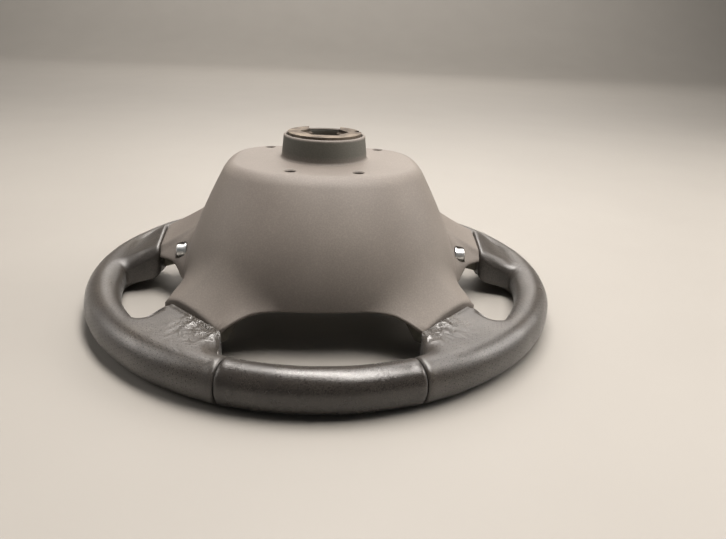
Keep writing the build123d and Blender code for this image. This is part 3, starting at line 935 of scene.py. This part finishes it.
def cover_radius(angle, z):
    """The hub's outline with the flares of its four spokes, ended at the leather's seams."""
    radius = hub_radius(angle, z) + side_flare(angle, z) + lower_flare(angle, z)
    east = np.maximum(np.abs(np.cos(angle)), least_share)
    radius = np.minimum(radius, (seam_x - joint_gap) / east)
    outwards = east * lower_run[0] + np.sin(angle) * lower_run[1]
    seam_reach = lower_seam @ lower_run - cover_centre_y * lower_run[1] - joint_gap
    seam_radius = seam_reach / np.maximum(outwards, least_share)
    return np.where(outwards > least_share, np.minimum(radius, seam_radius), radius)


# Directions about the cover's centre, closer together at the side spokes, and the low edge with its arches
flanks = [middle + np.arange(flank_from, flank_to, flank_step) for middle in flank_middles]
all_turns = np.concatenate((np.arange(0, 360, angle_step), np.concatenate(flanks) % 360))
angles = np.radians(np.unique(np.round(all_turns, 3)))
east = np.cos(angles)
north = np.sin(angles)
skirt_x = np.abs(east * cover_radius(angles, bottom_arch_z))
bottom_share = np.clip((bottom_arch_half - skirt_x) / bottom_arch_run, 0, 1)
bottom_rise = 1 - (1 - bottom_share) ** bottom_arch_power
rear_rise = ease((rear_arch_half - skirt_x) / rear_arch_run)
side_turn = np.abs(turn_from(angles, math.radians(side_arch_middle)))
side_rise = ease((side_arch_half - side_turn) / side_arch_run)
low_edge = cover_low_z + (bottom_arch_z - cover_low_z) * bottom_rise * (north < 0)
low_edge = low_edge + (rear_arch_z - cover_low_z) * rear_rise * (north > 0)
low_edge = np.maximum(low_edge, cover_low_z + (side_arch_z - cover_low_z) * side_rise)

# Rows of points from the low edge up the wall, over the top's edge, along the top and up the collar
rows = []
for share in np.linspace(0, 1, wall_rows):
    z = low_edge + (cover_top_z - top_edge_radius - low_edge) * share
    radius = cover_radius(angles, z)
    rows.append((east * radius, cover_centre_y + north * radius, z))
for turn in np.linspace(0, math.pi / 2, top_edge_rows)[1:]:
    z = cover_top_z - top_edge_radius * (1 - math.sin(turn))
    radius = cover_radius(angles, z) - top_edge_radius * (1 - math.cos(turn))
    rows.append((east * radius, cover_centre_y + north * radius, z + 0 * angles))
edge_x, edge_y, edge_z = rows[-1]
foot_radius = collar_base_radius + collar_base_fillet
for share in np.linspace(0, 1, top_rows)[1:]:
    rows.append((
        edge_x + (east * foot_radius - edge_x) * share,
        edge_y + (north * foot_radius - edge_y) * share,
        edge_z,
    ))
collar_profile = []
for turn in np.linspace(0, math.pi / 2, collar_foot_rows)[1:]:
    collar_profile.append((
        foot_radius - collar_base_fillet * math.sin(turn),
        cover_top_z + collar_base_fillet * (1 - math.cos(turn)),
    ))
for share in np.linspace(0, 1, collar_wall_rows)[1:]:
    collar_profile.append((
        collar_base_radius + (collar_top_radius - collar_base_radius) * share,
        cover_top_z + collar_base_fillet + (collar_height - collar_base_fillet - collar_edge_radius) * share,
    ))
for turn in np.linspace(0, math.pi / 2, collar_edge_rows)[1:]:
    collar_profile.append((
        collar_top_radius - collar_edge_radius * (1 - math.cos(turn)),
        cover_top_z + collar_height - collar_edge_radius * (1 - math.sin(turn)),
    ))
for radius, z in collar_profile:
    rows.append((east * radius, north * radius, z + 0 * angles))
cover_points = np.stack([np.stack(row, axis=1) for row in rows])

mould_grain_width = 1.1
fine_mould_grain_width = 0.9
mould_grain_depth = 0.15
handled_width = 111
# The collar is painted darker from just above its foot as painted shade and reflection, and lighter again
# along its top edge as a painted highlight.
collar_shade_from_z = cover_top_z + 1
collar_shade_full_z = cover_top_z + 6
collar_highlight_from_z = cover_top_z + collar_height - 2
collar_highlight_full_z = cover_top_z + collar_height - 0.8
plastic_dark = "#6f6862"
plastic_light = "#7f7871"
collar_shade_tone = "#55564f"
cover_plastic, tree, place = new_material("moulded_grey_plastic")
grain = add(tree, "ShaderNodeTexVoronoi", {"Vector": place, "Scale": 1 / (mould_grain_width * mm)})
grain_fine = add(tree, "ShaderNodeTexNoise", {
    "Vector": place, "Scale": 1 / (fine_mould_grain_width * mm), "Detail": 3})
handled = add(tree, "ShaderNodeTexNoise", {
    "Vector": place, "Scale": 1 / (handled_width * mm), "Detail": 5, "Roughness": 0.55})
handled_range = add(tree, "ShaderNodeMapRange", {
    "Value": handled.outputs["Fac"], "From Min": 0.35, "From Max": 0.68})
plastic_tone = add(tree, "ShaderNodeMixRGB", {
    "Fac": handled_range.outputs["Result"],
    "Color1": linear(plastic_dark),
    "Color2": linear(plastic_light),
})
height_place = add(tree, "ShaderNodeSeparateXYZ", {"Vector": place})
# Painted shade and reflection on the collar, taken off again at its top edge as a painted highlight.
collar_shade = add(tree, "ShaderNodeMapRange", {
    "Value": height_place.outputs["Z"],
    "From Min": collar_shade_from_z * mm,
    "From Max": collar_shade_full_z * mm,
    "To Max": 0.75,
})
collar_top_highlight = add(tree, "ShaderNodeMapRange", {
    "Value": height_place.outputs["Z"],
    "From Min": collar_highlight_from_z * mm,
    "From Max": collar_highlight_full_z * mm,
    "To Min": 1,
    "To Max": 0,
})
collar_shade_left = add(
    tree, "ShaderNodeMath", {0: collar_shade.outputs["Result"], 1: collar_top_highlight.outputs["Result"]},
    operation="MULTIPLY")
collar_shaded_tone = add(tree, "ShaderNodeMixRGB", {
    "Fac": collar_shade_left.outputs["Value"],
    "Color1": plastic_tone.outputs["Color"],
    "Color2": linear(collar_shade_tone),
})
grain_tone = add(
    tree, "ShaderNodeMixRGB",
    {"Fac": 0.12, "Color1": collar_shaded_tone.outputs["Color"], "Color2": grain.outputs["Distance"]},
    blend_type="OVERLAY")
plastic_rough = add(tree, "ShaderNodeMapRange", {
    "Value": handled.outputs["Fac"], "To Min": 0.5, "To Max": 0.64})
grain_height = add(tree, "ShaderNodeMixRGB", {
    "Fac": 0.5, "Color1": grain.outputs["Distance"], "Color2": grain_fine.outputs["Fac"]})
plastic_bump = add(tree, "ShaderNodeBump", {
    "Height": grain_height.outputs["Color"], "Strength": 0.3, "Distance": mould_grain_depth * mm})
show(tree, add(tree, "ShaderNodeBsdfPrincipled", {
    "Base Color": grain_tone.outputs["Color"],
    "Roughness": plastic_rough.outputs["Result"],
    "Specular IOR Level": 0.35,
    "Normal": plastic_bump.outputs["Normal"],
}))
cover = grid_piece("rear_cover_shell", cover_points, cover_plastic)
shell = cover.modifiers.new("shell", "SOLIDIFY")
shell.thickness = cover_wall * mm
shell.offset = -1


def cutter(name, places, axis, profile):
    """Turned forms about an axis at several places, from a profile of radii and heights."""
    form = bmesh.new()
    turned = Vector((0, 0, 1)).rotation_difference(Vector(axis)).to_matrix()
    for spot in places:
        rings = []
        for radius, height in profile:
            ring = []
            for side in range(cutter_sides):
                turn = 2 * math.pi * side / cutter_sides
                corner = Vector((radius * math.cos(turn), radius * math.sin(turn), height))
                ring.append(form.verts.new((turned @ corner + Vector(spot)) * mm))
            rings.append(ring)
        for low, high in zip(rings, rings[1:]):
            for side in range(cutter_sides):
                after = (side + 1) % cutter_sides
                form.faces.new((low[side], low[after], high[after], high[side]))
        form.faces.new(rings[0][::-1])
        form.faces.new(rings[-1])
    bmesh.ops.recalc_face_normals(form, faces=form.faces)
    mesh = bpy.data.meshes.new(name)
    form.to_mesh(mesh)
    form.free()
    made = bpy.data.objects.new(name, mesh)
    bpy.context.collection.objects.link(made)
    return made


upwards = (0, 0, 1)
well_spots = [(x, y, 0) for x, y in screw_places]
well_floor_z = cover_top_z - well_depth
well_posts = cutter("well_posts", well_spots, upwards, (
    (well_radius + well_wall, well_floor_z - cover_wall),
    (well_radius + well_wall, cover_top_z - well_post_sink),
))
well_holes = cutter("well_holes", well_spots, upwards, (
    (well_radius, well_floor_z),
    (well_radius, cover_top_z - well_chamfer),
    (well_radius + well_chamfer, cover_top_z),
    (well_radius + well_chamfer, cover_top_z + well_overcut),
))
steps = [(well_posts, "UNION"), (well_holes, "DIFFERENCE")]
for side in (1, -1):
    bolt_hole = cutter("bolt_hole", [(0, *bolt_place)], (side, 0, 0), (
        (bolt_hole_radius, bolt_hole_start),
        (bolt_hole_radius, bolt_hole_end),
    ))
    steps.append((bolt_hole, "DIFFERENCE"))
for other, operation in steps:
    step = cover.modifiers.new(other.name, "BOOLEAN")
    step.object = other
    step.operation = operation
    step.solver = "EXACT"
settle(cover)
for other, operation in steps:
    bpy.data.objects.remove(other)
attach(cover, "wheel")
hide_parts("rear_cover")

# Cover screws and bolt clips: small steel pieces with a black oxide finish, dusty and dull. The screws'
# pan heads sit on the floors of the four wells, and the clips are sprung onto the shanks of the bolts.
dust_width = 2.5
oxide_dark = "#1c1b1a"
oxide_light = "#3a3733"
black_steel, tree, place = new_material("black_oxide_steel")
dust = add(tree, "ShaderNodeTexNoise", {"Vector": place, "Scale": 1 / (dust_width * mm), "Detail": 4})
dust_tone = add(tree, "ShaderNodeMixRGB", {
    "Fac": dust.outputs["Fac"], "Color1": linear(oxide_dark), "Color2": linear(oxide_light)})
dust_rough = add(tree, "ShaderNodeMapRange", {"Value": dust.outputs["Fac"], "To Min": 0.35, "To Max": 0.7})
show(tree, add(tree, "ShaderNodeBsdfPrincipled", {
    "Base Color": dust_tone.outputs["Color"],
    "Metallic": 0.7,
    "Roughness": dust_rough.outputs["Result"],
}))
for node in ("cover_screws", "bolt_clip_left", "bolt_clip_right"):
    dress(node, black_steel)

# Airbag bolts: bright zinc-plated steel with a hexagon socket, backed out to their stops and held by
# clips. The plating is milky and slightly scratched.
milky_width = 3.33
scratch_depth = 0.1
zinc_dark = "#cfd2d3"
zinc_light = "#f0f1f0"
zinc_steel, tree, place = new_material("bright_zinc_plate")
milky = add(tree, "ShaderNodeTexNoise", {"Vector": place, "Scale": 1 / (milky_width * mm), "Detail": 5})
zinc_tone = add(tree, "ShaderNodeMixRGB", {
    "Fac": milky.outputs["Fac"], "Color1": linear(zinc_dark), "Color2": linear(zinc_light)})
zinc_rough = add(tree, "ShaderNodeMapRange", {"Value": milky.outputs["Fac"], "To Min": 0.22, "To Max": 0.45})
zinc_bump = add(tree, "ShaderNodeBump", {
    "Height": milky.outputs["Fac"], "Strength": 0.1, "Distance": scratch_depth * mm})
show(tree, add(tree, "ShaderNodeBsdfPrincipled", {
    "Base Color": zinc_tone.outputs["Color"],
    "Metallic": 0.9,
    "Roughness": zinc_rough.outputs["Result"],
    "Normal": zinc_bump.outputs["Normal"],
}))
for node in ("airbag_bolt_left", "airbag_bolt_right"):
    dress(node, zinc_steel)

low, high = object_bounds()
